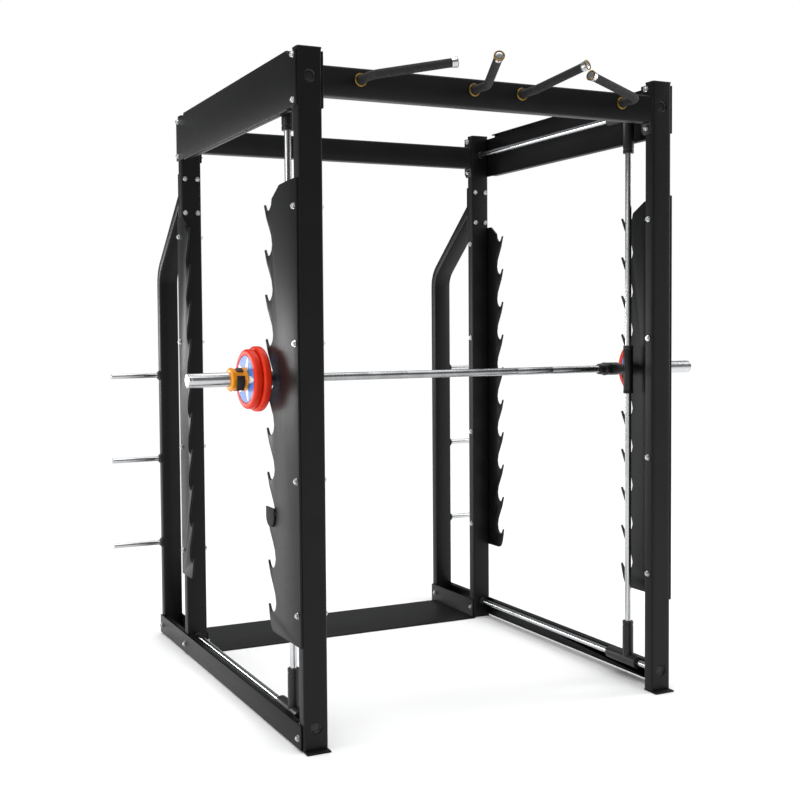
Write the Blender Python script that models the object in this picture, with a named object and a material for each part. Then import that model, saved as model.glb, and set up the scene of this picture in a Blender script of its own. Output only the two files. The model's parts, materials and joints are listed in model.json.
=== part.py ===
"""Smith machine: a floor-standing rack whose loaded bar rides on two vertical guide rods.

The rods hang in T-shaped housings that slide front to back on four horizontal rods, so the bar
can be lifted, lowered and carried between two rows of catch hooks. X runs across the machine
(left is -X), Y runs from the front uprights to the storage posts, Z is up and the floor is Z = 0.
All places below are measured from the middle of the front uprights' front plane.
"""

import math

import bmesh
import bpy
from mathutils import Matrix, Vector

# Driving dimensions, in metres.
FRAME_HEIGHT = 2.330
FRAME_HALF_WIDTH = 0.772
REAR_OFFSET = 1.257
FIT_GAP = 0.0003
PLATE_FLOAT = 0.0002

TUBE_WIDTH = 0.088
TUBE_DEPTH = 0.045
TUBE_WALL = 0.003
TUBE_CORNER = 0.008
INNER_FACE = FRAME_HALF_WIDTH - TUBE_WIDTH
TUBE_X = FRAME_HALF_WIDTH - TUBE_WIDTH / 2
SHEET = 0.0067
FOOT_THICKNESS = 0.006
FOOT_TOE = 0.024
CAP_THICKNESS = 0.004
ACCESS_HOLE_RADIUS = 0.0225

UPPER_ROD_Z = 2.237
LOWER_ROD_Z = 0.078
ROD_RADIUS = 0.012
ROD_BOSS_RADIUS = 0.016
ROD_BOSS_LENGTH = 0.010
BORE_RADIUS = 0.013

CARRIAGE_Y = 0.190
HOUSING_FRONT = 0.128
HOUSING_BACK = 0.303
HOUSING_RADIUS = 0.024
SOCKET_RADIUS = 0.021
UPPER_SOCKET_END = 2.087
LOWER_SOCKET_END = 0.232
SOCKET_BLIND = 0.030

BAR_X = 0.035
BAR_Y = 0.304
BAR_Z = 1.237
BAR_HALF_LENGTH = 1.100
SHAFT_RADIUS = 0.0145
SHAFT_HALF_LENGTH = 1.020
SHOULDER = 0.8225
SLEEVE_RADIUS = 0.025
SHOULDER_RADIUS = 0.031
SHOULDER_THICKNESS = 0.0045
ON_SLEEVE_BORE = 0.0256
SHAFT_BORE = 0.0155

# Weight plates as (start from the bar's middle, thickness, radius), and the collar as (start, length).
PLATE_GAP = 0.0008
INNER_PLATE = (SHOULDER + SHOULDER_THICKNESS + PLATE_GAP, 0.029, 0.115)
OUTER_PLATE = (INNER_PLATE[0] + INNER_PLATE[1] + PLATE_GAP, 0.029, 0.105)
COLLAR = (OUTER_PLATE[0] + OUTER_PLATE[1] + PLATE_GAP, 0.0600)
LEVER_PIVOT_ANGLE = math.radians(165)
LEVER_PIVOT_RADIUS = 0.0454

SLIDER_RADIUS = 0.019
SLIDER_HALF_LENGTH = 0.095
HUB_RADIUS = 0.0255
HUB_INNER = 0.7055
HUB_OUTER = 0.766

HOOK_COUNT = 10
HOOK_PITCH = 0.1555
TOP_HOOK_Z = 1.8436
FRONT_TIP_Y = 0.2875
FRONT_HOOK_DEPTH = 0.0705
REAR_TIP_Y = 1.139
REAR_HOOK_DEPTH = 0.051
CATCH_BOTTOM = 0.352
CATCH_TOP = 1.904
CATCH_INNER = FRAME_HALF_WIDTH + FIT_GAP
CATCH_OUTER = 0.780

POST_Y = 1.6345
POST_CORNER_Z = 1.674
POST_MEETS_Z = 1.978
POST_BEND_RADIUS = 0.120
PEG_HEIGHTS = (1.205, 0.820, 0.430)
PEG_RADIUS = 0.012
PEG_END = 1.001

HANDLE_Z = 2.235
GRIP_RADIUS = 0.015

ROUND_SEGMENTS = 16
PLATE_SEGMENTS = 24

# The machine's origin is the middle of its footprint: the bar's middle across, and halfway
# between the pull-up handles' ends and the backs of the storage posts.
FOOTPRINT_MIDDLE = Vector((BAR_X, 0.6912, 0.0))

SIDES = (("left", -1), ("right", 1))
X_AXIS = Vector((1, 0, 0))
Y_AXIS = Vector((0, 1, 0))
Z_AXIS = Vector((0, 0, 1))


# Materials: name, colour, metallic, roughness.
FINISHES = {
    "powder_coat": ((0.018, 0.018, 0.019), 0.0, 0.45),
    "black_cap": ((0.012, 0.012, 0.012), 0.0, 0.55),
    "black_housing": ((0.015, 0.015, 0.016), 0.2, 0.35),
    "chrome": ((0.82, 0.83, 0.85), 1.0, 0.12),
    "grip_rubber": ((0.010, 0.010, 0.010), 0.0, 0.75),
    "red_plate": ((0.72, 0.03, 0.015), 0.0, 0.38),
    "orange_collar": ((0.95, 0.45, 0.02), 0.0, 0.35),
    "black_lever": ((0.010, 0.010, 0.012), 0.0, 0.40),
    "stop_rubber": ((0.008, 0.008, 0.008), 0.0, 0.65),
}


def clear_scene():
    for piece in list(bpy.data.objects):
        bpy.data.objects.remove(piece, do_unlink=True)


def finish(name):
    """Returns the named material, making it the first time."""
    known = bpy.data.materials.get(name)
    if known:
        return known
    colour, metallic, roughness = FINISHES[name]
    material = bpy.data.materials.new(name)
    material.use_nodes = True
    shader = material.node_tree.nodes["Principled BSDF"]
    shader.inputs["Base Color"].default_value = (*colour, 1.0)
    shader.inputs["Metallic"].default_value = metallic
    shader.inputs["Roughness"].default_value = roughness
    return material


# ---------------------------------------------------------------- outlines


def rounded_rectangle(width, depth, radius, steps=2):
    points = []
    for quarter in range(4):
        centre_x = (width / 2 - radius) * (1 if quarter in (0, 3) else -1)
        centre_y = (depth / 2 - radius) * (1 if quarter in (0, 1) else -1)
        for step in range(steps + 1):
            angle = (quarter + step / steps) * math.pi / 2
            points.append((centre_x + radius * math.cos(angle), centre_y + radius * math.sin(angle)))
    return points


def circle(radius, segments=ROUND_SEGMENTS):
    turns = [2 * math.pi * step / segments for step in range(segments)]
    return [(radius * math.cos(turn), radius * math.sin(turn)) for turn in turns]


def bezier(start, pull_start, pull_end, end, steps):
    """Points of a cubic curve, leaving out its start."""
    points = []
    for step in range(1, steps + 1):
        t = step / steps
        s = 1 - t
        weights = (s**3, 3 * s * s * t, 3 * s * t * t, t**3)
        corners = (start, pull_start, pull_end, end)
        points.append(tuple(sum(w * c[axis] for w, c in zip(weights, corners)) for axis in (0, 1)))
    return points


def placed_ring(outline, centre, across, upward):
    """Lays a flat outline into space, around a centre and along two directions."""
    return [centre + across * a + upward * b for a, b in outline]


# ---------------------------------------------------------------- solids


def mesh_from(name, builder, material_name, smooth):
    bmesh.ops.recalc_face_normals(builder, faces=builder.faces)
    mesh = bpy.data.meshes.new(name)
    builder.to_mesh(mesh)
    builder.free()
    if smooth:
        mesh.shade_smooth()
        mesh.set_sharp_from_angle(angle=math.radians(35))
    mesh.materials.append(finish(material_name))
    piece = bpy.data.objects.new(name, mesh)
    bpy.context.scene.collection.objects.link(piece)
    return piece


def loft(name, rings, material_name, cyclic=False, smooth=True):
    """Skins a row of equal rings. A cyclic loft comes back to its first ring, and so has a bore."""
    builder = bmesh.new()
    rows = [[builder.verts.new(point) for point in ring] for ring in rings]
    count = len(rows[0])
    pairs = list(zip(rows, rows[1:]))
    if cyclic:
        pairs.append((rows[-1], rows[0]))
    else:
        builder.faces.new(rows[0])
        builder.faces.new(rows[-1])
    for near, far in pairs:
        for index in range(count):
            following = (index + 1) % count
            builder.faces.new((near[index], near[following], far[following], far[index]))
    return mesh_from(name, builder, material_name, smooth)


def prism(name, outline, low_x, high_x, material_name, smooth=False):
    """A sheet lying in the YZ plane: its outline as (y, z) pairs, and its two faces' X."""
    rings = [[Vector((x, y, z)) for y, z in outline] for x in (low_x, high_x)]
    return loft(name, rings, material_name, smooth=smooth)


def box(name, low, high, material_name):
    outline = [(low[1], low[2]), (high[1], low[2]), (high[1], high[2]), (low[1], high[2])]
    return prism(name, outline, low[0], high[0], material_name)


def turned(name, profile, start, axis, material_name, cyclic=False, segments=ROUND_SEGMENTS):
    """A piece turned about an axis: its profile as (distance along, radius) pairs."""
    across = Y_AXIS if abs(axis.x) > 0.5 else X_AXIS
    upward = Y_AXIS if abs(axis.z) > 0.5 else Z_AXIS
    rings = []
    for along, radius in profile:
        rings.append(placed_ring(circle(radius, segments), start + axis * along, across, upward))
    return loft(name, rings, material_name, cyclic=cyclic)


def combine(target, helper, operation):
    """Adds the helper to the target, or cuts it away. The helper itself is only a guide."""
    helper.hide_render = True
    helper.display_type = "WIRE"
    change = target.modifiers.new(helper.name, "BOOLEAN")
    change.operation = operation
    change.solver = "EXACT"
    change.object = helper
    GUIDES.setdefault(target.name, []).append(helper)


def add_body(name, place, parent=None):
    """An empty on a moving group's joint axis, or at the machine's origin."""
    empty = bpy.data.objects.new(name, None)
    bpy.context.scene.collection.objects.link(empty)
    empty.empty_display_size = 0.1
    BODY_PLACES[name] = Vector(place)
    if parent:
        empty.parent = parent
        empty.location = BODY_PLACES[name] - BODY_PLACES[parent.name]
    else:
        empty.location = BODY_PLACES[name] - FOOTPRINT_MIDDLE
    return empty


def attach(piece, body):
    """Hangs a piece, and the guides that shape it, on its group's empty."""
    for each in [piece, *GUIDES.get(piece.name, [])]:
        each.parent = body
        each.location = -BODY_PLACES[body.name]
    return piece


# ---------------------------------------------------------------- frame


def hollow_tube(name, path, width, depth, material_name):
    """A rounded tube with open ends. The path lists (centre, across, upward) along it."""
    outer = rounded_rectangle(width, depth, TUBE_CORNER)
    inner = rounded_rectangle(width - 2 * TUBE_WALL, depth - 2 * TUBE_WALL, TUBE_CORNER - TUBE_WALL)
    outside = [placed_ring(outer, *stop) for stop in path]
    inside = [placed_ring(inner, *stop) for stop in reversed(path)]
    return loft(name, outside + inside, material_name, cyclic=True)


def make_uprights(frame):
    for end, front_face in (("front", 0.0), ("rear", REAR_OFFSET)):
        for side, sign in SIDES:
            name = f"{end}_{side}"
            middle = Vector((sign * TUBE_X, front_face + TUBE_DEPTH / 2, 0))
            foot_top = FOOT_THICKNESS + FIT_GAP if end == "front" else 0.0
            cap_under = FRAME_HEIGHT - CAP_THICKNESS
            ends = (foot_top, cap_under - FIT_GAP)
            path = [(middle + Z_AXIS * z, X_AXIS, Y_AXIS) for z in ends]
            upright = hollow_tube(f"{name}_upright", path, TUBE_WIDTH, TUBE_DEPTH, "powder_coat")
            if end == "front":
                for z in (UPPER_ROD_Z - 0.002, LOWER_ROD_Z + 0.005):
                    start = Vector((sign * TUBE_X, -0.010, z))
                    reach = [(0.0, ACCESS_HOLE_RADIUS), (0.010 + 2 * TUBE_WALL, ACCESS_HOLE_RADIUS)]
                    cutter = turned(f"{name}_access_cut", reach, start, Y_AXIS, "powder_coat")
                    combine(upright, cutter, "DIFFERENCE")
                make_foot_plate(frame, side, sign)
            attach(upright, frame)
            make_top_cap(frame, name, middle, cap_under)


def make_top_cap(frame, name, middle, underside):
    outline = rounded_rectangle(TUBE_WIDTH + 0.003, TUBE_DEPTH + 0.003, TUBE_CORNER)
    rings = []
    for height, shrink in ((0.0, 1.0), (0.003, 1.0), (CAP_THICKNESS, 0.965)):
        shape = [(a * shrink, b * shrink) for a, b in outline]
        rings.append(placed_ring(shape, middle + Z_AXIS * (underside + height), X_AXIS, Y_AXIS))
    attach(loft(f"{name}_top_cap", rings, "black_cap"), frame)


def make_foot_plate(frame, side, sign):
    low_x, high_x = sorted((sign * (INNER_FACE + 0.0005), sign * (FRAME_HALF_WIDTH - 0.0005)))
    low = (low_x, -FOOT_TOE, 0.0)
    high = (high_x, TUBE_DEPTH, FOOT_THICKNESS)
    attach(box(f"front_{side}_foot_plate", low, high, "powder_coat"), frame)


def sheet_rail(name, sign, outline, lips, body):
    """A bent sheet on the uprights' outer faces: its web's outline, and its lips turned inward.

    Each lip is (front y, back y, low z, high z).
    """
    web_inner = sign * (FRAME_HALF_WIDTH + FIT_GAP)
    web_outer = sign * (FRAME_HALF_WIDTH + FIT_GAP + SHEET)
    rail = prism(name, outline, *sorted((web_inner, web_outer)), "powder_coat")
    for index, (front, back, low_z, high_z) in enumerate(lips):
        near, far = sorted((sign * (FRAME_HALF_WIDTH - 0.018), web_inner + sign * 0.003))
        lip = box(f"{name}_lip_{index}", (near, front, low_z), (far, back, high_z), "powder_coat")
        combine(rail, lip, "UNION")
    attach(rail, body)


def make_side_beams(frame):
    front_step, back_step = 0.078, 1.195
    beam_low, beam_high = 2.132, 2.328
    flange_low, flange_high = 2.138, 2.317
    lip_thickness = 0.005
    outline = [
        (0.003, flange_low),
        (front_step - 0.006, flange_low),
        (front_step, beam_low),
        (back_step, beam_low),
        (back_step + 0.006, flange_low),
        (REAR_OFFSET + TUBE_DEPTH - 0.002, flange_low),
        (REAR_OFFSET + TUBE_DEPTH - 0.002, flange_high),
        (back_step + 0.006, flange_high),
        (back_step, beam_high),
        (front_step, beam_high),
        (front_step - 0.006, flange_high),
        (0.003, flange_high),
    ]
    front, back = front_step + PLATE_FLOAT, back_step - PLATE_FLOAT
    lips = [
        (front, back, beam_low + PLATE_FLOAT, beam_low + lip_thickness),
        (front, back, beam_high - lip_thickness, beam_high - PLATE_FLOAT),
    ]
    for side, sign in SIDES:
        sheet_rail(f"{side}_side_beam", sign, outline, lips, frame)


def make_base_rails(frame):
    front, back = 0.015, 1.655
    low, high = 0.006, 0.088
    outline = [(front, low), (back, low), (back, high), (front, high)]
    lip_low, lip_high = high - 0.005, high - PLATE_FLOAT
    lips = [(0.075, 1.200, lip_low, lip_high), (1.320, 1.600, lip_low, lip_high)]
    for side, sign in SIDES:
        sheet_rail(f"{side}_base_rail", sign, outline, lips, frame)


def make_crossbeams(frame):
    """Square tubes between the uprights, each with a bolting flange welded to both ends."""
    tube_low, tube_high = 2.175, 2.275
    tube_front, tube_back = 0.004, 0.054
    flange_inner = INNER_FACE - 0.006
    flange = [(0.002, 2.132), (0.045, 2.132), (0.060, 2.150), (0.060, 2.317), (0.002, 2.317)]
    opening = [(0.012, 2.185), (0.038, 2.185), (0.046, 2.193), (0.046, 2.265), (0.012, 2.265)]
    for end, offset in (("front", 0.0), ("rear", REAR_OFFSET)):
        middle_y = offset + (tube_front + tube_back) / 2
        middle_z = (tube_low + tube_high) / 2
        path = []
        for x in (-flange_inner - 0.002, flange_inner + 0.002):
            path.append((Vector((x, middle_y, middle_z)), Y_AXIS, Z_AXIS))
        depth, height = tube_back - tube_front, tube_high - tube_low
        beam = hollow_tube(f"{end}_crossbeam", path, depth, height, "powder_coat")
        for side, sign in SIDES:
            faces = (sign * flange_inner, sign * (INNER_FACE - FIT_GAP))
            rings = []
            for shape, x in ((flange, 0), (flange, 1), (opening, 1), (opening, 0)):
                rings.append([Vector((faces[x], y + offset, z)) for y, z in shape])
            name = f"{end}_crossbeam_{side}_flange"
            combine(beam, loft(name, rings, "powder_coat", cyclic=True, smooth=False), "UNION")
        attach(beam, frame)


def make_rear_floor_crossmember(frame):
    flange_inner = INNER_FACE - 0.006
    low = (-flange_inner - 0.002, 1.240, 0.0)
    high = (flange_inner + 0.002, 1.628, FOOT_THICKNESS)
    member = box("rear_floor_crossmember", low, high, "powder_coat")
    for side, sign in SIDES:
        near, far = sorted((sign * flange_inner, sign * (INNER_FACE - FIT_GAP)))
        low = (near, 1.262, PLATE_FLOAT)
        high = (far, 1.655, 0.085)
        flange = box(f"crossmember_{side}_flange", low, high, "powder_coat")
        combine(member, flange, "UNION")
    attach(member, frame)


def bent_path(start, corner, end, radius, steps):
    """The centre line of a tube bent once, as (point, direction) pairs."""
    incoming = (corner - start).normalized()
    outgoing = (end - corner).normalized()
    turn = incoming.angle(outgoing)
    centre = corner + (outgoing - incoming).normalized() * radius / math.cos(turn / 2)
    first = corner - incoming * radius * math.tan(turn / 2) - centre
    axis = incoming.cross(outgoing).normalized()
    stops = [(start, incoming)]
    for step in range(steps + 1):
        swing = Matrix.Rotation(turn * step / steps, 3, axis)
        stops.append((centre + swing @ first, swing @ incoming))
    stops.append((end, outgoing))
    return stops


def make_storage_posts(frame):
    """Posts behind the rear uprights, leaning forward above their bend to a bolted flange."""
    meeting_face = REAR_OFFSET + TUBE_DEPTH
    for side, sign in SIDES:
        start = Vector((sign * TUBE_X, POST_Y, 0.0))
        corner = Vector((sign * TUBE_X, POST_Y, POST_CORNER_Z))
        end = Vector((sign * TUBE_X, meeting_face, POST_MEETS_Z))
        stops = bent_path(start, corner, end, POST_BEND_RADIUS, 5)
        path = [(point, X_AXIS, X_AXIS.cross(direction)) for point, direction in stops[:-1]]
        # The slanting end is cut upright, inside the flange.
        direction = stops[-1][1]
        square = X_AXIS.cross(direction)
        slide = -square.y / direction.y
        cut_point = end + direction * (0.003 / direction.y)
        path.append((cut_point, X_AXIS, square + direction * slide))
        post = hollow_tube(f"{side}_storage_post", path, TUBE_WIDTH, TUBE_DEPTH, "powder_coat")
        near, far = sorted((sign * (INNER_FACE + PLATE_FLOAT), sign * (FRAME_HALF_WIDTH - PLATE_FLOAT)))
        low = (near, meeting_face + FIT_GAP, 1.890)
        high = (far, meeting_face + 0.006, 2.085)
        combine(post, box(f"{side}_post_flange", low, high, "powder_coat"), "UNION")
        attach(post, frame)
        for index, height in enumerate(PEG_HEIGHTS, start=1):
            make_peg(frame, f"{side}_plate_peg_{index}", sign, height)


def make_peg(frame, name, sign, height):
    length = PEG_END - FRAME_HALF_WIDTH - FIT_GAP
    profile = [
        (0.0, 0.0215),
        (0.005, 0.0215),
        (0.008, 0.0165),
        (0.012, PEG_RADIUS),
        (length - 0.004, PEG_RADIUS),
        (length - 0.001, PEG_RADIUS - 0.0012),
        (length, PEG_RADIUS - 0.004),
    ]
    start = Vector((sign * (FRAME_HALF_WIDTH + FIT_GAP), POST_Y, height))
    attach(turned(name, profile, start, X_AXIS * sign, "chrome"), frame)


def hook_outline(tip_z):
    """One catch hook from its deepest point, down round its cradle and out over its tip.

    Points are (depth behind the tip as a share of the hook's depth, z).
    """
    deepest = (1.0, tip_z + 0.014)
    cradle = (0.46, tip_z - 0.0255)
    inside_tip = (0.085, tip_z - 0.002)
    points = [deepest]
    points += bezier(deepest, (1.0, tip_z - 0.010), (0.72, tip_z - 0.0255), cradle, 3)
    points += bezier(cradle, (0.27, tip_z - 0.0255), (0.19, tip_z - 0.014), inside_tip, 3)
    points.append((0.045, tip_z))
    outside_tip = (0.0, tip_z - 0.004)
    points.append(outside_tip)
    return points


def hooked_edge(tip_y, depth, into_plate):
    """The row of hooks, top to bottom. into_plate is the Y direction away from the tips."""
    points = []
    for index in range(HOOK_COUNT):
        tip_z = TOP_HOOK_Z - index * HOOK_PITCH
        hook = hook_outline(tip_z)
        points += hook
        if index < HOOK_COUNT - 1:
            following = hook_outline(tip_z - HOOK_PITCH)[0]
            steepening = (0.31, tip_z - 0.075)
            flank = bezier(hook[-1], steepening, (1.0, following[1] + 0.046), following, 4)
            points += flank[:-1]
    return [(tip_y + into_plate * depth * share, z) for share, z in points]


def make_catch_plates(frame):
    front_edge = hooked_edge(FRONT_TIP_Y, FRONT_HOOK_DEPTH, -1)
    under_front = bezier(front_edge[-1], (0.276, 0.395), (0.270, CATCH_BOTTOM), (0.240, CATCH_BOTTOM), 5)
    front = [(0.003, CATCH_TOP), (0.069, CATCH_TOP - 0.001), (0.150, CATCH_TOP - 0.007)]
    front += front_edge + under_front + [(0.003, CATCH_BOTTOM)]
    back_face = REAR_OFFSET + TUBE_DEPTH - 0.002
    rear_edge = hooked_edge(REAR_TIP_Y, REAR_HOOK_DEPTH, 1)
    under_rear = bezier(rear_edge[-1], (1.147, 0.395), (1.152, CATCH_BOTTOM), (1.180, CATCH_BOTTOM), 5)
    rear = [(back_face, CATCH_TOP - 0.011), (1.236, CATCH_TOP - 0.011)]
    rear += rear_edge + under_rear + [(back_face, CATCH_BOTTOM)]
    for side, sign in SIDES:
        faces = sorted((sign * CATCH_INNER, sign * CATCH_OUTER))
        attach(prism(f"front_{side}_catch_plate", front, *faces, "powder_coat"), frame)
        attach(prism(f"rear_{side}_catch_plate", rear, *faces, "powder_coat"), frame)


def make_stop_block(frame):
    """A small rubber stop on the outside of the front left catch plate, by its eighth hook."""
    radius = 0.036
    centre_y, centre_z, top = 0.2505, 0.757, 0.790
    outline = [(centre_y - radius, top)]
    for step in range(11):
        angle = math.pi * (1 + step / 10)
        outline.append((centre_y + radius * math.cos(angle), centre_z + radius * math.sin(angle)))
    outline.append((centre_y + radius, top))
    outer_face = -CATCH_OUTER - 0.0065
    attach(prism("stop_block", outline, outer_face, -CATCH_OUTER - FIT_GAP, "stop_rubber"), frame)


def make_horizontal_rods(frame):
    length = REAR_OFFSET - TUBE_DEPTH - 2 * FIT_GAP
    profile = [
        (0.0, ROD_BOSS_RADIUS),
        (ROD_BOSS_LENGTH, ROD_BOSS_RADIUS),
        (ROD_BOSS_LENGTH, ROD_RADIUS),
        (length - ROD_BOSS_LENGTH, ROD_RADIUS),
        (length - ROD_BOSS_LENGTH, ROD_BOSS_RADIUS),
        (length, ROD_BOSS_RADIUS),
    ]
    for level, height in (("upper", UPPER_ROD_Z), ("lower", LOWER_ROD_Z)):
        for side, sign in SIDES:
            start = Vector((sign * TUBE_X, TUBE_DEPTH + FIT_GAP, height))
            attach(turned(f"{side}_{level}_guide_rod", profile, start, Y_AXIS, "chrome"), frame)


def make_pull_up_handles(frame):
    """Bent grips on the front crossbeam: the outer pair lean inward, the inner pair outward."""
    beam_face = 0.004 - FIT_GAP
    shapes = {
        "outer": ((0.541, beam_face, HANDLE_Z), (0.541, -0.080, HANDLE_Z), (0.269, -0.162, 2.281)),
        "inner": ((0.099, beam_face, HANDLE_Z), (0.099, -0.080, HANDLE_Z), (0.176, -0.268, 2.286)),
    }
    flange_length, cap_length = 0.008, 0.022
    for place, corners in shapes.items():
        for side, sign in SIDES:
            start, corner, end = [Vector((sign * x, y, z)) for x, y, z in corners]
            stops = bent_path(start, corner, end, 0.035, 3)
            (_, outward), (_, onward) = stops[0], stops[-1]
            rows = [(start, outward, 0.0225), (start + outward * flange_length, outward, 0.0225)]
            rows += [(start + outward * flange_length, outward, GRIP_RADIUS)]
            rows += [(point, direction, GRIP_RADIUS) for point, direction in stops[1:-1]]
            rows += [(end - onward * cap_length, onward, GRIP_RADIUS)]
            rows += [(end - onward * cap_length, onward, GRIP_RADIUS + 0.0015)]
            rows += [(end - onward * 0.003, onward, GRIP_RADIUS + 0.0035), (end, onward, GRIP_RADIUS)]
            rings = []
            for point, direction, radius in rows:
                across = direction.cross(Z_AXIS).normalized()
                upward = across.cross(direction)
                rings.append(placed_ring(circle(radius, 12), point, across, upward))
            attach(loft(f"{place}_{side}_pull_up_handle", rings, "grip_rubber"), frame)


# ---------------------------------------------------------------- moving carriage


def make_t_housing(name, sign, rod_z, socket_end, body):
    """A bearing block: a tube around the horizontal rod, and a socket for the vertical rod."""
    x = sign * TUBE_X
    length = HOUSING_BACK - HOUSING_FRONT
    front = Vector((x, HOUSING_FRONT, rod_z))
    housing = turned(name, [(0.0, HOUSING_RADIUS), (length, HOUSING_RADIUS)], front, Y_AXIS, "black_housing")
    toward_middle = 1 if socket_end > rod_z else -1
    reach = abs(socket_end - rod_z)
    centre = Vector((x, CARRIAGE_Y, rod_z))
    way = Z_AXIS * toward_middle
    socket_profile = [(0.0, SOCKET_RADIUS), (reach - 0.002, SOCKET_RADIUS), (reach, SOCKET_RADIUS - 0.002)]
    socket = turned(f"{name}_socket", socket_profile, centre, way, "black_housing")
    combine(housing, socket, "UNION")
    through = [(-0.010, BORE_RADIUS), (length + 0.010, BORE_RADIUS)]
    combine(housing, turned(f"{name}_slide_bore", through, front, Y_AXIS, "black_housing"), "DIFFERENCE")
    hold = ROD_RADIUS + 0.0004
    blind = [(SOCKET_BLIND, hold), (reach + 0.010, hold)]
    combine(housing, turned(f"{name}_rod_bore", blind, centre, way, "black_housing"), "DIFFERENCE")
    attach(housing, body)


def make_carriage(side, sign, body):
    low = LOWER_ROD_Z + SOCKET_BLIND + FIT_GAP
    high = UPPER_ROD_Z - SOCKET_BLIND - FIT_GAP
    foot = Vector((sign * TUBE_X, CARRIAGE_Y, low))
    profile = [(0.0, ROD_RADIUS), (high - low, ROD_RADIUS)]
    attach(turned(f"{side}_vertical_rod", profile, foot, Z_AXIS, "chrome"), body)
    make_t_housing(f"{side}_upper_t_housing", sign, UPPER_ROD_Z, UPPER_SOCKET_END, body)
    make_t_housing(f"{side}_lower_t_housing", sign, LOWER_ROD_Z, LOWER_SOCKET_END, body)


def make_slider(side, sign, body):
    """A sleeve on the vertical rod, with an arm back to the hub that holds the bar's shaft."""
    half = SLIDER_HALF_LENGTH
    sleeve_profile = [
        (-half, BORE_RADIUS),
        (-half, SLIDER_RADIUS - 0.001),
        (-half + 0.001, SLIDER_RADIUS),
        (half - 0.001, SLIDER_RADIUS),
        (half, SLIDER_RADIUS - 0.001),
        (half, BORE_RADIUS),
    ]
    centre = Vector((sign * TUBE_X, CARRIAGE_Y, BAR_Z))
    slider = turned(f"{side}_slider", sleeve_profile, centre, Z_AXIS, "black_housing", cyclic=True)
    arm_low = (sign * TUBE_X - 0.012, CARRIAGE_Y + 0.0155, BAR_Z - 0.021)
    arm_high = (sign * TUBE_X + 0.012, BAR_Y - 0.020, BAR_Z + 0.021)
    combine(slider, box(f"{side}_slider_arm", arm_low, arm_high, "black_housing"), "UNION")
    width = HUB_OUTER - HUB_INNER
    hub_profile = [
        (0.0, SHAFT_BORE),
        (0.0, HUB_RADIUS - 0.0015),
        (0.0015, HUB_RADIUS),
        (width - 0.0015, HUB_RADIUS),
        (width, HUB_RADIUS - 0.0015),
        (width, SHAFT_BORE),
    ]
    inner_face = Vector((sign * HUB_INNER, BAR_Y, BAR_Z))
    hub = turned(f"{side}_slider_hub", hub_profile, inner_face, X_AXIS * sign, "black_housing", cyclic=True)
    combine(slider, hub, "UNION")
    attach(slider, body)


# ---------------------------------------------------------------- bar


def make_shaft(body):
    start = Vector((BAR_X - SHAFT_HALF_LENGTH, BAR_Y, BAR_Z))
    profile = [(0.0, SHAFT_RADIUS), (2 * SHAFT_HALF_LENGTH, SHAFT_RADIUS)]
    attach(turned("bar_shaft", profile, start, X_AXIS, "chrome"), body)
    bore = SHAFT_RADIUS + 0.0005
    for side, sign in SIDES:
        face = Vector((sign * (HUB_INNER - 0.0008), BAR_Y, BAR_Z))
        ring_profile = [
            (0.0, bore),
            (0.0, 0.0265),
            (0.006, 0.0265),
            (0.012, 0.0235),
            (0.030, 0.0215),
            (0.034, 0.0185),
            (0.034, bore),
        ]
        ring = turned(f"{side}_hub_ring", ring_profile, face, X_AXIS * -sign, "black_housing", cyclic=True)
        attach(ring, body)


def make_sleeve(side, sign, body):
    """The revolving end of the bar, with a blind bore over the shaft."""
    shoulder = Vector((BAR_X + sign * SHOULDER, BAR_Y, BAR_Z))
    length = BAR_HALF_LENGTH - SHOULDER
    blind_end = SHAFT_HALF_LENGTH - SHOULDER + 0.001
    profile = [
        (blind_end, SHAFT_BORE),
        (0.0, SHAFT_BORE),
        (0.0, SHOULDER_RADIUS - 0.001),
        (0.001, SHOULDER_RADIUS),
        (SHOULDER_THICKNESS, SHOULDER_RADIUS),
        (SHOULDER_THICKNESS, SLEEVE_RADIUS),
        (length - 0.002, SLEEVE_RADIUS),
        (length, SLEEVE_RADIUS - 0.002),
    ]
    attach(turned(f"{side}_bar_sleeve", profile, shoulder, X_AXIS * sign, "chrome"), body)


def make_weight_plate(name, start_x, thickness, radius, sign, body):
    """A weight plate with chamfered rims and a shallow dish in both faces."""
    dish_radius = radius * 0.79
    rim_flat = radius * 0.87
    dish, chamfer = 0.0015, 0.009
    profile = [
        (dish, ON_SLEEVE_BORE),
        (dish, dish_radius),
        (0.0, dish_radius + 0.002),
        (0.0, rim_flat),
        (chamfer, radius),
        (thickness - chamfer, radius),
        (thickness, rim_flat),
        (thickness, dish_radius + 0.002),
        (thickness - dish, dish_radius),
        (thickness - dish, ON_SLEEVE_BORE),
    ]
    start = Vector((BAR_X + sign * start_x, BAR_Y, BAR_Z))
    plate = turned(name, profile, start, X_AXIS * sign, "red_plate", cyclic=True, segments=PLATE_SEGMENTS)
    attach(plate, body)


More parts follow.
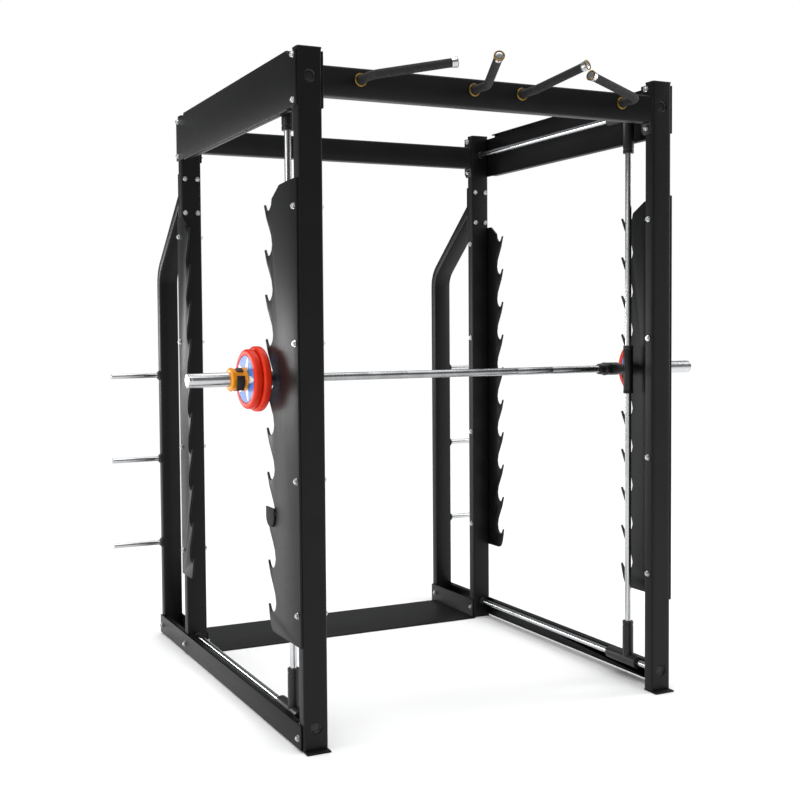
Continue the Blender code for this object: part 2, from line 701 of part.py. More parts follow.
def make_collar(side, sign, start_x, length, body, lever_body):
    """A clamping collar, and the cam lever that lies along its side."""
    outer = 0.042
    profile = [
        (0.0, ON_SLEEVE_BORE),
        (0.0, outer - 0.004),
        (0.004, outer),
        (length - 0.006, outer),
        (length, outer - 0.006),
        (length, ON_SLEEVE_BORE),
    ]
    start = Vector((BAR_X + sign * start_x, BAR_Y, BAR_Z))
    collar = turned(f"{side}_collar", profile, start, X_AXIS * sign, "orange_collar", cyclic=True)
    attach(collar, body)
    pivot_angle, reach, steps = LEVER_PIVOT_ANGLE, math.radians(62), 8
    half_thickness, middle_radius = 0.0028, LEVER_PIVOT_RADIUS
    outside, inside = [], []
    for step in range(steps + 1):
        angle = pivot_angle + reach * step / steps
        way = (math.cos(angle), math.sin(angle))
        # The free end lifts a little, so that a finger can get under it.
        lift = 0.003 * (step / steps) ** 3
        outside.append([(middle_radius + half_thickness + lift) * part for part in way])
        inside.append([(middle_radius - half_thickness + lift) * part for part in way])
    outline = outside + list(reversed(inside))
    # The pivot end is rounded about the pivot, so that it turns clear of the collar.
    pivot = [middle_radius * math.cos(pivot_angle), middle_radius * math.sin(pivot_angle)]
    for step in (1, 2, 3):
        angle = pivot_angle + math.pi + math.pi * step / 4
        across, upward = half_thickness * math.cos(angle), half_thickness * math.sin(angle)
        outline.append([pivot[0] + across, pivot[1] + upward])
    outline = [(BAR_Y + y, BAR_Z + z) for y, z in outline]
    near = BAR_X + sign * (start_x + 0.016)
    far = BAR_X + sign * (start_x + 0.044)
    lever = prism(f"{side}_collar_lever", outline, *sorted((near, far)), "black_lever", smooth=True)
    attach(lever, lever_body)



BODY_PLACES = {}
GUIDES = {}


def build():
    clear_scene()
    frame = add_body("frame", (0.0, 0.0, 0.0))
    make_uprights(frame)
    make_side_beams(frame)
    make_base_rails(frame)
    make_crossbeams(frame)
    make_rear_floor_crossmember(frame)
    make_storage_posts(frame)
    make_catch_plates(frame)
    make_stop_block(frame)
    make_horizontal_rods(frame)
    make_pull_up_handles(frame)

    carriages = {}
    for side, sign in SIDES:
        carriages[side] = add_body(f"{side}_carriage", (sign * TUBE_X, CARRIAGE_Y, UPPER_ROD_Z), frame)
        make_carriage(side, sign, carriages[side])
    lift = add_body("bar_carriage", (-TUBE_X, CARRIAGE_Y, BAR_Z), carriages["left"])
    for side, sign in SIDES:
        make_slider(side, sign, lift)
    spin = add_body("shaft", (BAR_X, BAR_Y, BAR_Z), lift)
    make_shaft(spin)
    for side, sign in SIDES:
        sleeve = add_body(f"{side}_sleeve", (BAR_X + sign * SHOULDER, BAR_Y, BAR_Z), spin)
        make_sleeve(side, sign, sleeve)
        make_weight_plate(f"{side}_inner_weight_plate", *INNER_PLATE, sign, sleeve)
        make_weight_plate(f"{side}_outer_weight_plate", *OUTER_PLATE, sign, sleeve)
        pivot_y = BAR_Y + LEVER_PIVOT_RADIUS * math.cos(LEVER_PIVOT_ANGLE)
        pivot_z = BAR_Z + LEVER_PIVOT_RADIUS * math.sin(LEVER_PIVOT_ANGLE)
        pivot = (BAR_X + sign * (COLLAR[0] + 0.030), pivot_y, pivot_z)
        lever = add_body(f"{side}_lever", pivot, sleeve)
        make_collar(side, sign, *COLLAR, sleeve, lever)


build()
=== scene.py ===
"""The looks of the smith machine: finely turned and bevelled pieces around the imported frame."""

import json
import math

import bmesh
import bpy
from mathutils import Matrix, Vector

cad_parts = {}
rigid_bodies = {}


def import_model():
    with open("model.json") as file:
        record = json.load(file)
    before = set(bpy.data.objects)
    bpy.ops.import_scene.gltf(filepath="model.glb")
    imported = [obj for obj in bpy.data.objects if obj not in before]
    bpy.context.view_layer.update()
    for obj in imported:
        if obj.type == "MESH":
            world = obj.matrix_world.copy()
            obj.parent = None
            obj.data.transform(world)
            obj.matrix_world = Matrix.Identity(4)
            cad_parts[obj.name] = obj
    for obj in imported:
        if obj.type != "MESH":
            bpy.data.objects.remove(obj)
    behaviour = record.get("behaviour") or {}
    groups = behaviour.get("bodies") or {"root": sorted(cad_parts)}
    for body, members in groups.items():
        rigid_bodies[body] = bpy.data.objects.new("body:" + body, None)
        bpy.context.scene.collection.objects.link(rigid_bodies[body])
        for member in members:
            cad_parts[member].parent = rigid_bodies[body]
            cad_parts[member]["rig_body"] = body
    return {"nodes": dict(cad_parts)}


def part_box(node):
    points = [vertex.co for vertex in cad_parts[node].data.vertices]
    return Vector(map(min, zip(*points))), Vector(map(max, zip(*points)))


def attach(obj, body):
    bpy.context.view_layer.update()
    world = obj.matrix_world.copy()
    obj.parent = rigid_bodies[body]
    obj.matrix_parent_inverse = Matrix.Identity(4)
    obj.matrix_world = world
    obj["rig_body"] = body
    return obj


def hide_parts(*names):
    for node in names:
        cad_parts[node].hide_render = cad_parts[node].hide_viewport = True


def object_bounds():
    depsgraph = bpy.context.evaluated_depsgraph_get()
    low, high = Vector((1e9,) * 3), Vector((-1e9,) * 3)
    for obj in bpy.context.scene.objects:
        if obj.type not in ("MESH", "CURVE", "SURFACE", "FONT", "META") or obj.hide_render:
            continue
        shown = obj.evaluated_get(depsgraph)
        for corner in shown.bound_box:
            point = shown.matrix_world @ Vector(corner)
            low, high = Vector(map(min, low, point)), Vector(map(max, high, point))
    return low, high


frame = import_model()
CAD_BOX = [list(corner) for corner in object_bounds()]

SIDES = (("left", -1), ("right", 1))
X_AXIS = Vector((1, 0, 0))
Y_AXIS = Vector((0, 1, 0))
Z_AXIS = Vector((0, 0, 1))
FINE = 64
MEDIUM = 48
SMALL = 24
PLATE_SEGMENTS = 96

# Sizes that several pieces share, in metres.
ROD_RADIUS = 0.0120
SLIDE_BORE = 0.0130
SHAFT_RADIUS = 0.0145
SHAFT_BORE = 0.0155
HUB_RADIUS = 0.0255
SLEEVE_RADIUS = 0.0250
SHOULDER_RADIUS = 0.0310
GRIP_RADIUS = 0.0150
HANDLE_BEND = 0.035
ACCESS_RADIUS = 0.0225
PAD_ANGLE = math.radians(118)
SHARP_ANGLE = 35

# Heights of the bolts, and the widths of their heads across the flats.
BEAM_BOLT_HEIGHTS = (2.303, 2.157)
POST_BOLT_HEIGHTS = (2.060, 1.916)
CATCH_BOLT_HEIGHTS = (1.813, 1.362, 0.906, 0.458)
HEAD_WIDTH = 0.017
SMALL_HEAD_WIDTH = 0.016
HEAD_HEIGHT = 0.0085
FLANGE_THICKNESS = 0.006

# Light: what the camera sees behind the machine, the room's glow, and the overhead lamp.
BACKDROP = 1.0
AMBIENT = 0.22
OVERHEAD = 3.0


# ------------------------------------------------------------------ materials


def blank(name, colour, roughness, metallic=0.0):
    """A new material, with the numbers that are the same all over set on the shader itself."""
    material = bpy.data.materials.new(name)
    material.use_nodes = True
    shader = material.node_tree.nodes["Principled BSDF"]
    shader.inputs["Base Color"].default_value = (*colour, 1.0)
    shader.inputs["Roughness"].default_value = roughness
    shader.inputs["Metallic"].default_value = metallic
    return material, shader


def place(material, stretch=(1, 1, 1)):
    """Coordinates in metres, optionally stretched."""
    nodes, links = material.node_tree.nodes, material.node_tree.links
    where = nodes.new("ShaderNodeTexCoord")
    mapping = nodes.new("ShaderNodeMapping")
    mapping.inputs["Scale"].default_value = stretch
    links.new(where.outputs["Object"], mapping.inputs["Vector"])
    return mapping.outputs["Vector"]


def noise(material, scale, detail=3.0, stretch=(1, 1, 1)):
    nodes, links = material.node_tree.nodes, material.node_tree.links
    texture = nodes.new("ShaderNodeTexNoise")
    texture.inputs["Scale"].default_value = scale
    texture.inputs["Detail"].default_value = detail
    links.new(place(material, stretch), texture.inputs["Vector"])
    return texture.outputs["Fac"]


def vary_colour(material, shader, source, dark, light, low=0.3, high=0.7):
    nodes, links = material.node_tree.nodes, material.node_tree.links
    ramp = nodes.new("ShaderNodeValToRGB")
    ramp.color_ramp.elements[0].position = low
    ramp.color_ramp.elements[0].color = (*dark, 1.0)
    ramp.color_ramp.elements[1].position = high
    ramp.color_ramp.elements[1].color = (*light, 1.0)
    links.new(source, ramp.inputs["Fac"])
    links.new(ramp.outputs["Color"], shader.inputs["Base Color"])
    return ramp


def vary_roughness(material, shader, source, low, high):
    nodes, links = material.node_tree.nodes, material.node_tree.links
    span = nodes.new("ShaderNodeMapRange")
    span.inputs["From Min"].default_value = 0.3
    span.inputs["From Max"].default_value = 0.7
    span.inputs["To Min"].default_value = low
    span.inputs["To Max"].default_value = high
    links.new(source, span.inputs["Value"])
    links.new(span.outputs["Result"], shader.inputs["Roughness"])


def bump(material, shader, source, strength, distance):
    nodes, links = material.node_tree.nodes, material.node_tree.links
    relief = nodes.new("ShaderNodeBump")
    relief.inputs["Strength"].default_value = strength
    relief.inputs["Distance"].default_value = distance
    links.new(source, relief.inputs["Height"])
    links.new(relief.outputs["Normal"], shader.inputs["Normal"])


def powder_coat():
    """Matte black powder coat: a fine orange-peel skin with slightly uneven sheen."""
    material, shader = blank("powder_coat_black", (0.0045, 0.0045, 0.0048), 0.40)
    shader.inputs["Specular IOR Level"].default_value = 0.21
    cloud = noise(material, 7.0, 4.0)
    vary_colour(material, shader, cloud, (0.0036, 0.0036, 0.0038), (0.0056, 0.0056, 0.0060))
    vary_roughness(material, shader, noise(material, 90.0, 4.0), 0.385, 0.425)
    bump(material, shader, noise(material, 950.0, 2.0), 0.16, 0.0004)
    return material


def black_moulding():
    material, shader = blank("black_moulding", (0.007, 0.007, 0.007), 0.5)
    shader.inputs["Specular IOR Level"].default_value = 0.4
    vary_roughness(material, shader, noise(material, 60.0, 4.0), 0.42, 0.58)
    vary_colour(material, shader, noise(material, 20.0, 3.0), (0.005, 0.005, 0.005), (0.009, 0.009, 0.010))
    bump(material, shader, noise(material, 1600.0, 2.0), 0.2, 0.0002)
    return material


def satin_black():
    """Smoother black paint of the bearing housings."""
    material, shader = blank("satin_black", (0.006, 0.006, 0.006), 0.3)
    shader.inputs["Specular IOR Level"].default_value = 0.42
    vary_roughness(material, shader, noise(material, 45.0, 4.0), 0.36, 0.42)
    cloud = noise(material, 12.0, 3.0)
    vary_colour(material, shader, cloud, (0.0045, 0.0045, 0.0048), (0.008, 0.008, 0.0085))
    bump(material, shader, noise(material, 1200.0, 2.0), 0.04, 0.0002)
    return material


def chrome(name="chrome_plate", stretch=(1, 1, 1)):
    """Hard chrome with faint polishing marks round the rod."""
    material, shader = blank(name, (0.56, 0.57, 0.58), 0.20, 1.0)
    vary_colour(material, shader, noise(material, 9.0, 3.0), (0.51, 0.515, 0.525), (0.60, 0.605, 0.615))
    vary_roughness(material, shader, noise(material, 30.0, 3.0, stretch), 0.19, 0.24)
    bump(material, shader, noise(material, 260.0, 2.0, stretch), 0.012, 0.0001)
    return material


def bar_steel():
    """Ground steel of the bar's shaft: darker than the plated rods, with marks round it."""
    material, shader = blank("bar_steel", (0.34, 0.345, 0.355), 0.22, 1.0)
    vary_colour(material, shader, noise(material, 15.0, 3.0), (0.28, 0.285, 0.29), (0.40, 0.405, 0.415))
    vary_roughness(material, shader, noise(material, 60.0, 4.0, (3.0, 0.2, 0.2)), 0.18, 0.30)
    bump(material, shader, noise(material, 420.0, 2.0, (3.0, 0.2, 0.2)), 0.08, 0.0001)
    return material


def zinc():
    """Bright zinc plate on the bolts, nuts and washers."""
    material, shader = blank("bright_zinc", (0.62, 0.63, 0.64), 0.28, 1.0)
    vary_colour(material, shader, noise(material, 90.0, 3.0), (0.50, 0.51, 0.52), (0.72, 0.73, 0.74))
    vary_roughness(material, shader, noise(material, 240.0, 4.0), 0.22, 0.40)
    bump(material, shader, noise(material, 900.0, 2.0), 0.12, 0.0002)
    return material


def gold_rim():
    material, shader = blank("gold_anodised", (0.26, 0.155, 0.035), 0.34, 1.0)
    vary_colour(material, shader, noise(material, 70.0, 3.0), (0.21, 0.12, 0.025), (0.31, 0.19, 0.045))
    vary_roughness(material, shader, noise(material, 180.0, 3.0), 0.28, 0.42)
    return material


def grip_rubber():
    """Matte foam rubber, with fine pores."""
    material, shader = blank("grip_rubber_black", (0.009, 0.009, 0.009), 0.8)
    vary_colour(material, shader, noise(material, 80.0, 4.0), (0.006, 0.006, 0.006), (0.014, 0.014, 0.014))
    vary_roughness(material, shader, noise(material, 150.0, 3.0), 0.70, 0.90)
    bump(material, shader, noise(material, 700.0, 4.0), 0.5, 0.0006)
    return material


def plate_red():
    """Red urethane skin of the weight plates, lightly scuffed."""
    material, shader = blank("plate_red", (0.74, 0.027, 0.004), 0.42)
    shader.inputs["Specular IOR Level"].default_value = 0.24
    vary_colour(material, shader, noise(material, 28.0, 5.0), (0.69, 0.022, 0.003), (0.79, 0.033, 0.006))
    vary_roughness(material, shader, noise(material, 75.0, 5.0), 0.37, 0.50)
    bump(material, shader, noise(material, 520.0, 3.0), 0.10, 0.0004)
    return material


def face_paint(name, colour, spread):
    material, shader = blank(name, colour, 0.42)
    dark = tuple(part * (1 - spread) for part in colour)
    light = tuple(min(1.0, part * (1 + spread)) for part in colour)
    vary_colour(material, shader, noise(material, 60.0, 4.0), dark, light)
    vary_roughness(material, shader, noise(material, 110.0, 3.0), 0.36, 0.50)
    bump(material, shader, noise(material, 700.0, 2.0), 0.08, 0.0003)
    return material


def collar_orange():
    material, shader = blank("collar_orange", (0.94, 0.34, 0.008), 0.36)
    shader.inputs["Specular IOR Level"].default_value = 0.35
    vary_colour(material, shader, noise(material, 55.0, 4.0), (0.90, 0.30, 0.006), (0.97, 0.38, 0.012))
    vary_roughness(material, shader, noise(material, 130.0, 3.0), 0.30, 0.44)
    bump(material, shader, noise(material, 1100.0, 2.0), 0.10, 0.0003)
    return material


def pale_floor():
    material, shader = blank("pale_floor", (0.93, 0.93, 0.93), 0.8)
    vary_colour(material, shader, noise(material, 0.6, 3.0), (0.925, 0.925, 0.925), (0.935, 0.935, 0.935))
    return material


POWDER = powder_coat()
MOULDING = black_moulding()
SATIN = satin_black()
CHROME_Z = chrome("chrome_upright", (0.2, 0.2, 3.0))
CHROME_Y = chrome("chrome_lengthways", (0.2, 3.0, 0.2))
CHROME_X = chrome("chrome_crossways", (3.0, 0.2, 0.2))
BAR_STEEL = bar_steel()
ZINC = zinc()
GOLD = gold_rim()
GRIP = grip_rubber()
RED = plate_red()
BLUE = face_paint("plate_face_blue", (0.065, 0.210, 0.640), 0.08)
WHITE = face_paint("plate_face_white", (0.80, 0.81, 0.83), 0.03)
ORANGE = collar_orange()


# ------------------------------------------------------------------ shapes


def rounded_rectangle(width, depth, radius, steps=6):
    points = []
    for quarter in range(4):
        centre_x = (width / 2 - radius) * (1 if quarter in (0, 3) else -1)
        centre_y = (depth / 2 - radius) * (1 if quarter in (0, 1) else -1)
        for step in range(steps + 1):
            angle = (quarter + step / steps) * math.pi / 2
            points.append((centre_x + radius * math.cos(angle), centre_y + radius * math.sin(angle)))
    return points


def circle(radius, segments):
    turns = [2 * math.pi * step / segments for step in range(segments)]
    return [(radius * math.cos(turn), radius * math.sin(turn)) for turn in turns]


def placed_ring(outline, centre, across, upward):
    return [centre + across * a + upward * b for a, b in outline]


def skin(builder, rings, cyclic):
    """Adds a row of equal rings to a mesh that is being built."""
    rows = [[builder.verts.new(point) for point in ring] for ring in rings]
    count = len(rows[0])
    pairs = list(zip(rows, rows[1:]))
    if cyclic:
        pairs.append((rows[-1], rows[0]))
    else:
        builder.faces.new(rows[0])
        builder.faces.new(rows[-1])
    for near, far in pairs:
        for index in range(count):
            following = (index + 1) % count
            builder.faces.new((near[index], near[following], far[following], far[index]))


def object_from(name, builder, material, smooth_angle=SHARP_ANGLE):
    bmesh.ops.recalc_face_normals(builder, faces=builder.faces)
    mesh = bpy.data.meshes.new(name)
    builder.to_mesh(mesh)
    builder.free()
    mesh.shade_smooth()
    mesh.set_sharp_from_angle(angle=math.radians(smooth_angle))
    mesh.materials.append(material)
    piece = bpy.data.objects.new(name, mesh)
    bpy.context.scene.collection.objects.link(piece)
    return piece


def loft(name, rings, material, cyclic=False):
    builder = bmesh.new()
    skin(builder, rings, cyclic)
    return object_from(name, builder, material)


def directions(axis):
    """Two directions square to an axis."""
    helper = Z_AXIS if abs(axis.z) < 0.9 else Y_AXIS
    across = axis.cross(helper).normalized()
    return across, axis.cross(across).normalized()


def turned_rings(profile, start, axis, segments):
    across, upward = directions(axis)
    rings = []
    for along, radius in profile:
        rings.append(placed_ring(circle(radius, segments), start + axis * along, across, upward))
    return rings


def turned(name, profile, start, axis, material, cyclic=False, segments=FINE):
    return loft(name, turned_rings(profile, start, axis, segments), material, cyclic)


def bevelled(piece, width):
    change = piece.modifiers.new("edges", "BEVEL")
    change.width = width
    change.segments = 2
    change.limit_method = "ANGLE"
    change.angle_limit = math.radians(30)
    change.use_clamp_overlap = True
    change.harden_normals = False


def cut(target, cutter, operation="DIFFERENCE"):
    """Cuts one closed piece with another, or joins them, and removes the second."""
    change = target.modifiers.new("cut", "BOOLEAN")
    change.operation = operation
    change.solver = "EXACT"
    change.object = cutter
    apply_changes(target)
    bpy.data.objects.remove(cutter, do_unlink=True)


def apply_changes(piece):
    depsgraph = bpy.context.evaluated_depsgraph_get()
    mesh = bpy.data.meshes.new_from_object(piece.evaluated_get(depsgraph), depsgraph=depsgraph)
    piece.modifiers.clear()
    piece.data = mesh
    mesh.shade_smooth()
    mesh.set_sharp_from_angle(angle=math.radians(SHARP_ANGLE))


def middle(node):
    low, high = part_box(node)
    return (low + high) / 2


def dress(piece, body, slot, *nodes):
    """Puts a piece on its body and hides the nodes it stands for; the slot argument is not used."""
    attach(piece, body)
    if nodes:
        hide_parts(*nodes)


# ------------------------------------------------------------------ frame


def sheet_pieces():
    """Bent and cut sheet keeps its CAD outline, with its edges softly broken."""
    thin = ["left_side_beam", "right_side_beam", "left_base_rail", "right_base_rail", "front_crossbeam",
            "rear_crossbeam", "rear_floor_crossmember", "left_storage_post", "right_storage_post",
            "front_left_foot_plate", "front_right_foot_plate"]
    thin += [f"{end}_{side}_catch_plate" for end in ("front", "rear") for side, _ in SIDES]
    for node in thin:
        bevel_copy(node, POWDER, "powder_coat", 0.0012)
    for end in ("front", "rear"):
        for side, _ in SIDES:
            bevel_copy(f"{end}_{side}_top_cap", MOULDING, "black_cap", 0.0008)
    bevel_copy("stop_block", GRIP, "stop_rubber", 0.0015)


def bevel_copy(node, material, slot, width):
    source = frame["nodes"][node]
    mesh = source.data.copy()
    mesh.materials.clear()
    mesh.materials.append(material)
    piece = bpy.data.objects.new(f"{node}_fine", mesh)
    bpy.context.scene.collection.objects.link(piece)
    weld(mesh)
    bevelled(piece, width)
    apply_changes(piece)
    dress(piece, source["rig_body"], slot, node)


def weld(mesh):
    """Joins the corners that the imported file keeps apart, and drops the cuts across flat faces."""
    builder = bmesh.new()
    builder.from_mesh(mesh)
    bmesh.ops.remove_doubles(builder, verts=builder.verts, dist=0.00002)
    flat = math.radians(1.0)
    bmesh.ops.dissolve_limit(builder, angle_limit=flat, verts=builder.verts, edges=builder.edges)
    builder.to_mesh(mesh)
    builder.free()


def uprights():
    """Rounded tubes with an open end under the cap, and access holes in the front pair."""
    wall, corner = 0.003, 0.008
    for end in ("front", "rear"):
        for side, _ in SIDES:
            node = f"{end}_{side}_upright"
            low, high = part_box(node)
            centre = middle(node)
            width, depth = high.x - low.x, high.y - low.y
            outer = rounded_rectangle(width, depth, corner)
            inner = rounded_rectangle(width - 2 * wall, depth - 2 * wall, corner - wall)
            foot = Vector((centre.x, centre.y, low.z))
            head = Vector((centre.x, centre.y, high.z))
            rings = []
            for outline, at in ((outer, foot), (outer, head), (inner, head), (inner, foot)):
                rings.append(placed_ring(outline, at, X_AXIS, Y_AXIS))
            piece = loft(f"{node}_fine", rings, POWDER, cyclic=True)
            if end == "front":
                for z in access_heights():
                    start = Vector((centre.x, low.y - 0.01, z))
                    profile = [(0.0, ACCESS_RADIUS), (0.016, ACCESS_RADIUS)]
                    cut(piece, turned("access_cut", profile, start, Y_AXIS, POWDER))
            dress(piece, "frame", "powder_coat", node)


def access_heights():
    """Heights of the access holes' middles, a little off the guide rods' own."""
    upper = middle("left_upper_guide_rod").z - 0.002
    lower = middle("left_lower_guide_rod").z + 0.005
    return upper, lower


def guide_rods():
    """Chrome rods: the level ones between black bosses, and the standing ones with chamfered ends."""
    for side, _ in SIDES:
        for level in ("upper", "lower"):
            node = f"{side}_{level}_guide_rod"
            low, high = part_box(node)
            centre = middle(node)
            start = Vector((centre.x, low.y, centre.z))
            length = high.y - low.y
            profile = [(0.0005, ROD_RADIUS), (length - 0.0005, ROD_RADIUS)]
            dress(turned(f"{node}_fine", profile, start, Y_AXIS, CHROME_Y), "frame", "chrome", node)
            boss = [(0.0, 0.0121), (0.0, 0.0160), (0.0085, 0.0160), (0.0100, 0.0145), (0.0100, 0.0121)]
            for end, at, way in (("front", low.y, Y_AXIS), ("rear", high.y, -Y_AXIS)):
                root = Vector((centre.x, at, centre.z))
                ring = turned(f"{node}_{end}_boss", boss, root, way, SATIN, cyclic=True, segments=MEDIUM)
                dress(ring, "frame", "black_housing")
        node = f"{side}_vertical_rod"
        low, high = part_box(node)
        start = Vector((middle(node).x, middle(node).y, low.z))
        length = high.z - low.z
        profile = [(0.0, 0.0105), (0.0015, ROD_RADIUS), (length - 0.0015, ROD_RADIUS), (length, 0.0105)]
        rod = turned(f"{node}_fine", profile, start, Z_AXIS, CHROME_Z)
        dress(rod, f"{side}_carriage", "chrome", node)


def t_housings():
    """T-shaped bearing blocks with chamfered ends, a groove round the socket, and both rods' bores."""
    for side, _ in SIDES:
        for level in ("upper", "lower"):
            node = f"{side}_{level}_t_housing"
            rod = middle(f"{side}_{level}_guide_rod")
            upright_rod = middle(f"{side}_vertical_rod")
            low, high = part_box(node)
            length = high.y - low.y
            front = Vector((rod.x, low.y, rod.z))
            tube = [(0.0, 0.0225), (0.0015, 0.024), (length - 0.0015, 0.024), (length, 0.0225)]
            housing = turned(f"{node}_fine", tube, front, Y_AXIS, SATIN)
            end = low.z if level == "upper" else high.z
            way = Z_AXIS if level == "lower" else -Z_AXIS
            reach = abs(end - rod.z)
            centre = Vector((rod.x, upright_rod.y, rod.z))
            groove = [(reach - 0.020, 0.021), (reach - 0.018, 0.0195)]
            groove += [(reach - 0.016, 0.0195), (reach - 0.014, 0.021)]
            socket = [(0.0, 0.021), *groove, (reach - 0.002, 0.021), (reach, 0.019)]
            cut(housing, turned("socket", socket, centre, way, SATIN), "UNION")
            through = [(-0.01, SLIDE_BORE), (length + 0.01, SLIDE_BORE)]
            cut(housing, turned("slide_bore", through, front, Y_AXIS, SATIN))
            blind = [(0.030, 0.0124), (reach + 0.01, 0.0124)]
            cut(housing, turned("rod_bore", blind, centre, way, SATIN))
            dress(housing, f"{side}_carriage", "black_housing", node)


def pegs():
    """Chrome storage pegs, each in a stepped black flange."""
    for side, sign in SIDES:
        for index in (1, 2, 3):
            node = f"{side}_plate_peg_{index}"
            low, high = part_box(node)
            centre = middle(node)
            root = low.x if sign > 0 else high.x
            start = Vector((root, centre.y, centre.z))
            length = high.x - low.x
            bar = [(0.006, ROD_RADIUS), (length - 0.004, ROD_RADIUS)]
            bar += [(length - 0.0015, 0.0112), (length, 0.0095)]
            flange = [(0.0, 0.0123), (0.0, 0.0213), (0.0008, 0.0215), (0.0045, 0.0215), (0.0060, 0.0200),
                      (0.0068, 0.0165), (0.0110, 0.0150), (0.0120, 0.0140), (0.0120, 0.0123)]
            along = X_AXIS * sign
            rod = turned(f"{node}_bar", bar, start, along, CHROME_X, segments=MEDIUM)
            dress(rod, "frame", "chrome", node)
            ring = turned(f"{node}_flange", flange, start, along, SATIN, cyclic=True, segments=MEDIUM)
            dress(ring, "frame", "black_housing")


def bent_stops(start, corner, end, radius, steps):
    """Points and directions along two straight runs with a round bend between them."""
    incoming = (corner - start).normalized()
    outgoing = (end - corner).normalized()
    turn = incoming.angle(outgoing)
    centre = corner + (outgoing - incoming).normalized() * radius / math.cos(turn / 2)
    first = corner - incoming * radius * math.tan(turn / 2) - centre
    axis = incoming.cross(outgoing).normalized()
    stops = [(start, incoming)]
    for step in range(steps + 1):
        swing = Matrix.Rotation(turn * step / steps, 3, axis)
        stops.append((centre + swing @ first, swing @ incoming))
    stops.append((end, outgoing))
    return stops


def swept(name, rows, material):
    """A round bar through a row of points, each with its direction and radius."""
    rings = []
    for point, direction, radius in rows:
        across = direction.cross(Z_AXIS).normalized()
        rings.append(placed_ring(circle(radius, 40), point, across, across.cross(direction)))
    return loft(name, rings, material)


def pull_up_handles():
    """Rubber grips between a gold-rimmed base and a flared chrome end cap with a gold rim."""
    for spot in ("outer", "inner"):
        for side, sign in SIDES:
            pull_up_handle(f"{spot}_{side}_pull_up_handle", spot == "inner", sign)


def pull_up_handle(node, points_forward, sign):
    cap_length = 0.021
    start, corner, end = handle_corners(node, points_forward, sign)
    stops = bent_stops(start, corner, end, HANDLE_BEND, 12)
    outward, onward = stops[0][1], stops[-1][1]
    root = end - onward * cap_length
    rows = [(start + outward * 0.007, outward, GRIP_RADIUS - 0.0002)]
    rows += [(point, direction, GRIP_RADIUS) for point, direction in stops[1:-1]]
    rows.append((root, onward, GRIP_RADIUS))
    dress(swept(f"{node}_grip", rows, GRIP), "frame", "grip_rubber", node)

    base = [(0.0003, 0.0152), (0.0003, 0.0180), (0.0075, 0.0172), (0.0085, 0.0165), (0.0085, 0.0152)]
    ring = turned(f"{node}_base_ring", base, start, outward, MOULDING, cyclic=True, segments=MEDIUM)
    dress(ring, "frame", "black_cap")
    rim = [(0.0003, 0.0181), (0.0003, 0.0225), (0.0030, 0.0225), (0.0045, 0.0213), (0.0052, 0.0181)]
    ring = turned(f"{node}_base_rim", rim, start, outward, GOLD, cyclic=True, segments=MEDIUM)
    dress(ring, "frame", "chrome")

    end_cap = [(0.0002, 0.0125), (0.0002, 0.0158), (0.0015, 0.0163), (0.0060, 0.0163), (0.0150, 0.0176)]
    end_cap += [(0.0184, 0.0181), (0.0184, 0.0128), (0.0196, 0.0126), (0.0200, 0.0110), (0.0200, 0.0040)]
    cap = turned(f"{node}_end_cap", end_cap, root, onward, CHROME_Y, segments=MEDIUM)
    dress(cap, "frame", "chrome")
    gold = [(0.0185, 0.0130), (0.0185, 0.0183), (0.0196, 0.0185)]
    gold += [(0.0206, 0.0176), (0.0208, 0.0150), (0.0203, 0.0132)]
    ring = turned(f"{node}_end_rim", gold, root, onward, GOLD, cyclic=True, segments=MEDIUM)
    dress(ring, "frame", "chrome")


def handle_corners(node, points_forward, sign):
    """A handle's base, bend and tip: the base stands square to the beam at one side of its box."""
    low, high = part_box(node)
    beam_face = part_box("front_crossbeam")[0].y + 0.002
    base_radius, stub = 0.0225, 0.0837
    leans_right = (sign > 0) == points_forward
    base_x = low.x + base_radius if leans_right else high.x - base_radius
    start = Vector((base_x, beam_face - 0.0003, low.z + base_radius))
    corner = start - Y_AXIS * stub
    across, forward, rise = (0.077, 0.188, 0.051) if points_forward else (0.272, 0.082, 0.046)
    end = corner + Vector((across if leans_right else -across, -forward, rise))
    return start, corner, end


# ------------------------------------------------------------------ bar and carriage


def sliders():
    """Linear bearings on the standing rods, each with an arm and a grooved hub for the bar."""
    for side, sign in SIDES:
        node = f"{side}_slider"
        rod = middle(f"{side}_vertical_rod")
        low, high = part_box(node)
        bar = middle("bar_shaft")
        half = (high.z - low.z) / 2
        foot = Vector((rod.x, rod.y, low.z))
        sleeve = [(0.014, 0.0132), (0.014, 0.0180), (0.0155, 0.0186), (2 * half - 0.0155, 0.0186),
                  (2 * half - 0.014, 0.0180), (2 * half - 0.014, 0.0132)]
        piece = turned(f"{node}_sleeve", sleeve, foot, Z_AXIS, SATIN, cyclic=True)
        dress(piece, "bar_carriage", "black_housing", node)
        for name, at, way in (("lower", low.z, Z_AXIS), ("upper", high.z, -Z_AXIS)):
            start = Vector((rod.x, rod.y, at))
            cap = [(0.0, 0.0130), (0.0, 0.0165), (0.0020, 0.0190)]
            cap += [(0.0120, 0.0190), (0.0135, 0.0182), (0.0135, 0.0130)]
            piece = turned(f"{node}_{name}_cap", cap, start, way, MOULDING, cyclic=True)
            dress(piece, "bar_carriage", "black_housing")
        width = high.x - low.x
        inboard = Vector((high.x if sign < 0 else low.x, bar.y, bar.z))
        groove = [(0.020, HUB_RADIUS), (0.0215, 0.0247), (0.0230, HUB_RADIUS)]
        hub = [(0.0, 0.0157), (0.0, 0.0238), (0.0018, HUB_RADIUS), *groove]
        hub += [(width - 0.0018, HUB_RADIUS), (width, 0.0238), (width, 0.0157)]
        piece = turned(f"{node}_hub", hub, inboard, X_AXIS * sign, SATIN, cyclic=True)
        dress(piece, "bar_carriage", "black_housing")
        arm(node, rod, bar)


